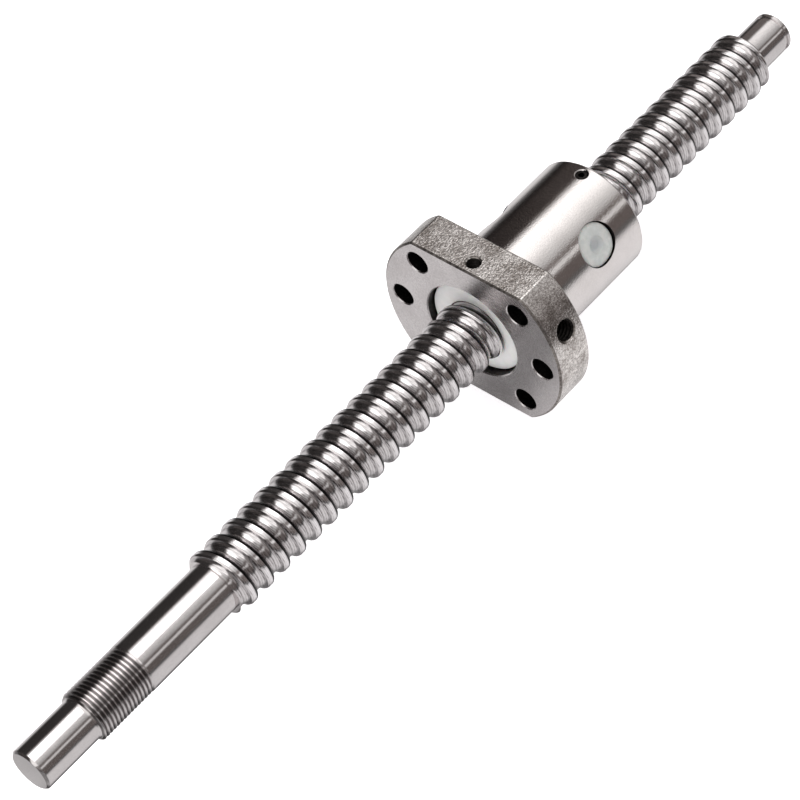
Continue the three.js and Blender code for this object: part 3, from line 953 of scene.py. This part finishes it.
nut_milled = steel(
    "nut_milled",
    dark=(0.26, 0.225, 0.205),
    light=(0.94, 0.9, 0.88),
    roughness=0.24,
    marks=EVERY_WAY,
    marks_depth=0.02,
    grain=2.4,
    grain_depth=0.09,
)
nut_bevel = steel(
    "nut_bevel",
    dark=(0.08, 0.07, 0.065),
    light=(0.35, 0.32, 0.3),
    roughness=0.35,
    marks=EVERY_WAY,
    marks_depth=0.02,
    grain=1.6,
    grain_depth=0.05,
)
# Painted shade: faces inside the nut's bore, seats and holes are painted nearly black, for the shade in
# them.
nut_inside_painted_shade = steel(
    "nut_inside_painted_shade",
    dark=(0.006, 0.0055, 0.005),
    light=(0.04, 0.036, 0.034),
    roughness=0.45,
    marks=ALONG_SCREW,
    marks_depth=0.01,
    grain=2.0,
    grain_depth=0.02,
)
ball_steel = steel(
    "bearing_steel",
    dark=(0.66, 0.66, 0.67),
    light=(0.74, 0.74, 0.75),
    roughness=0.06,
    marks=EVERY_WAY,
    marks_depth=0.0001,
    grain=2.0,
    grain_depth=0.0001,
)
oxide_steel = steel(
    "black_steel",
    dark=(0.02, 0.018, 0.017),
    light=(0.06, 0.055, 0.052),
    roughness=0.3,
    marks=EVERY_WAY,
    marks_depth=0.002,
    grain=4.0,
    grain_depth=0.006,
)
wiper_white = polymer("wiper_polymer", (0.89, 0.885, 0.875), (0.93, 0.925, 0.915), 0.42)
deflector_grey = polymer(
    "deflector_polymer", (0.54, 0.56, 0.545), (0.62, 0.635, 0.62), 0.4, middle_tone=(0.45, 0.465, 0.475)
)


def nut_finish_or_shade(centre, normal):
    """The material for a face of the nut, from its centre in millimetres: the finish that machining leaves
    on its outer faces, and painted shade on the faces inside it.
    """
    reach = math.hypot(centre.y, centre.z)
    outward = (centre.y * normal.y + centre.z * normal.z) / reach
    on_flange = centre.x < FLANGE_BACK + 0.01
    rim_depth, face_depth = FLANGE_CHAMFER + 0.05, 0.8
    on_rim = reach > FLANGE_RADIUS - rim_depth or abs(centre.z) > FLAT_HEIGHT - rim_depth
    from_end = min(abs(centre.x - x) for x in (NUT_FRONT, FLANGE_BACK, NUT_REAR))
    if on_flange and on_rim:
        return nut_milled if abs(normal.x) < 0.2 else nut_bevel
    if abs(normal.x) > 0.3 and from_end < face_depth and reach > SEAT_RADIUS - 0.2:
        return nut_turned
    if not on_flange and outward > 0.5 and reach > NUT_RADIUS - 0.3:
        return nut_ground
    # Every other face is inside the nut, and gets painted shade.
    return nut_inside_painted_shade


def finish_nut_faces(made):
    finishes_and_shade = [nut_ground, nut_turned, nut_milled, nut_inside_painted_shade, nut_bevel]
    for material in finishes_and_shade:
        made.data.materials.append(material)
    for face in made.data.polygons:
        face.material_index = finishes_and_shade.index(nut_finish_or_shade(face.center / MM, face.normal))


screw.data.materials.append(screw_steel)
finish_nut_faces(nut)
for piece in (front_wiper, rear_wiper):
    piece.data.materials.append(wiper_white)
for piece in deflectors:
    piece.data.materials.append(deflector_grey)
for piece in set_screws:
    piece.data.materials.append(oxide_steel)
ball_mesh.materials.append(ball_steel)

# ---- Stage --------------------------------------------------------------------------------------

# The turning flange's rim clears the floor at every pose.
FLOOR_REACH, FLOOR_LEVEL = 6.0, -(FLANGE_RADIUS + 0.1) * MM
floor_corners = [(-FLOOR_REACH, -FLOOR_REACH), (FLOOR_REACH, -FLOOR_REACH)]
floor_corners += [(FLOOR_REACH, FLOOR_REACH), (-FLOOR_REACH, FLOOR_REACH)]
floor_mesh = bpy.data.meshes.new("floor")
floor_mesh.from_pydata([(x, y, FLOOR_LEVEL) for x, y in floor_corners], [], [(0, 1, 2, 3)])
floor = bpy.data.objects.new("floor", floor_mesh)
scene.collection.objects.link(floor)
floor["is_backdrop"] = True


def paint_floor():
    """White paper that glows a little, so that it stays pale. Polished steel sees painted shade on it.

    In its reflection a painted shadow lies right under the screw, with painted shade far off to the sides
    and past the drive end.
    """
    made, g, shader = new_material("pale_floor", Roughness=0.8, Specular_IOR_Level=0.1)
    along, across, _ = g.split(g.object_point((1, 1, 1)))
    away = g.math("ABSOLUTE", across)
    # Painted shadow under the screw, seen only by glossy rays, darkest beside the drive end.
    shadow = g.ramp(along, 45, 75, 0.14, 0.5)
    painted_light = g.times(g.blend(g.ramp(away, 3, 12), shadow, 1.0), g.ramp(away, 70, 240, 1.0, 0.12))
    painted_light = g.times(painted_light, g.ramp(along, -25, 5, 0.3, 1.0))
    # Painted shade over the whole reflection, a little lighter on the +Y side and darker again far towards
    # +Y.
    painted_light = g.times(painted_light, g.times(g.ramp(across, -15, 15, 0.62, 0.66), g.ramp(across, 20, 70, 1.0, 0.85)))
    path = g.node("ShaderNodeLightPath").outputs
    share = g.blend(path["Is Glossy Ray"], 1.0, painted_light)
    grey = g.node("ShaderNodeCombineColor", {0: share, 1: share, 2: share}).outputs[0]
    g.feed(shader.inputs["Base Color"], grey)
    shader.inputs["Emission Color"].default_value = (0.99, 0.975, 1.0, 1)
    g.feed(shader.inputs["Emission Strength"], g.times(share, g.blend(path["Is Glossy Ray"], 0.75, 0.45)))
    floor_mesh.materials.append(made)


paint_floor()


def light_studio():
    """A dim, warm room: a softbox overhead, a strip light on the camera's side, a pale area at each end."""
    world = bpy.data.worlds.new("studio")
    scene.world = world
    world.use_nodes = True
    g = Graph(world.node_tree)
    along, across, height = g.split(g.node("ShaderNodeTexCoord").outputs["Generated"])
    # The angle from straight up, round the screw: positive towards -Y, the camera's side.
    tilt = g.times(g.math("ARCTAN2", g.times(across, -1.0), height), 180 / math.pi)

    room = g.blend(g.ramp(along, -0.65, -0.4), 0.08, 0.03)
    room = g.times(room, g.ramp(tilt, -40, -20, 0.6, 1.0))
    room = g.blend(g.ramp(tilt, 42, 52), room, 0.13)
    glow = g.blend(g.ramp(along, 0.5, 0.7), room, 0.3)
    light = g.blend(g.band(tilt, -78, -30, 8), room, glow)
    softbox = g.ramp(tilt, -14, 48, 1.55, 0.5)
    softbox = g.blend(g.ramp(along, 0.5, 0.85), softbox, 0.35)
    softbox = g.blend(g.ramp(along, -0.3, -0.55), softbox, 1.4)
    light = g.blend(g.band(tilt, -28, 45, 8), light, softbox)
    strip = g.blend(g.ramp(along, -0.25, -0.45), 0.85, 0.35)
    light = g.blend(g.band(tilt, 54, 63, 3), light, strip)
    light = g.blend(g.times(g.band(tilt, 46, 84, 3), g.ramp(along, -0.3, -0.5)), light, 0.3)
    seen = g.node("ShaderNodeLightPath").outputs["Is Camera Ray"]
    light = g.blend(seen, light, 1.0)
    background = world.node_tree.nodes["Background"]
    tone = g.choose(g.ramp(light, 0.1, 0.45), (1.0, 0.85, 0.8), (1.0, 0.99, 0.975))
    g.feed(background.inputs["Color"], tone)
    g.feed(background.inputs["Strength"], light)


light_studio()

softbox_data = bpy.data.lights.new("softbox", "AREA")
softbox_data.shape, softbox_data.size, softbox_data.size_y = "RECTANGLE", 0.9, 0.6
softbox_data.energy = 3.0
softbox_light = bpy.data.objects.new("softbox", softbox_data)
scene.collection.objects.link(softbox_light)
softbox_place, softbox_aim = Vector((0.3, 0.05, 1.3)), Vector((0.12, 0, 0))
softbox_light.location = softbox_place
softbox_light.rotation_euler = (softbox_place - softbox_aim).to_track_quat("Z", "Y").to_euler()


def add_camera(azimuth, elevation, roll, lens, distance, target, offset):
    """The photo's camera. Angles are in degrees and lengths in millimetres.

    target is a point that the picture shows right of its middle and above it, by offset.
    """
    data = bpy.data.cameras.new("camera")
    data.lens, data.sensor_width = lens, 36
    data.clip_start, data.clip_end = 0.01, 20
    camera = bpy.data.objects.new("camera", data)
    scene.collection.objects.link(camera)
    azimuth, elevation, roll = math.radians(azimuth), math.radians(elevation), math.radians(roll)
    near = math.cos(elevation)
    back = Vector((math.sin(azimuth) * near, -math.cos(azimuth) * near, math.sin(elevation)))
    sideways = Vector((math.cos(azimuth), math.sin(azimuth), 0))
    upright = back.cross(sideways)
    right = sideways * math.cos(roll) + upright * math.sin(roll)
    up = upright * math.cos(roll) - sideways * math.sin(roll)
    middle = Vector(target) - right * offset[0] - up * offset[1]
    turn = Matrix((right, up, back)).transposed().to_4x4()
    camera.matrix_world = Matrix.Translation((middle + back * distance) * MM) @ turn
    scene.camera = camera


add_camera(
    azimuth=-43.996,
    elevation=49.147,
    roll=-8.698,
    lens=134.4,
    distance=637.712,
    target=(137.328, 0, 0),
    offset=(15.396, 14.701),
)

scene.view_settings.view_transform = "Standard"

# ---- Size ---------------------------------------------------------------------------------------

bpy.context.view_layer.update()
low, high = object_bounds()
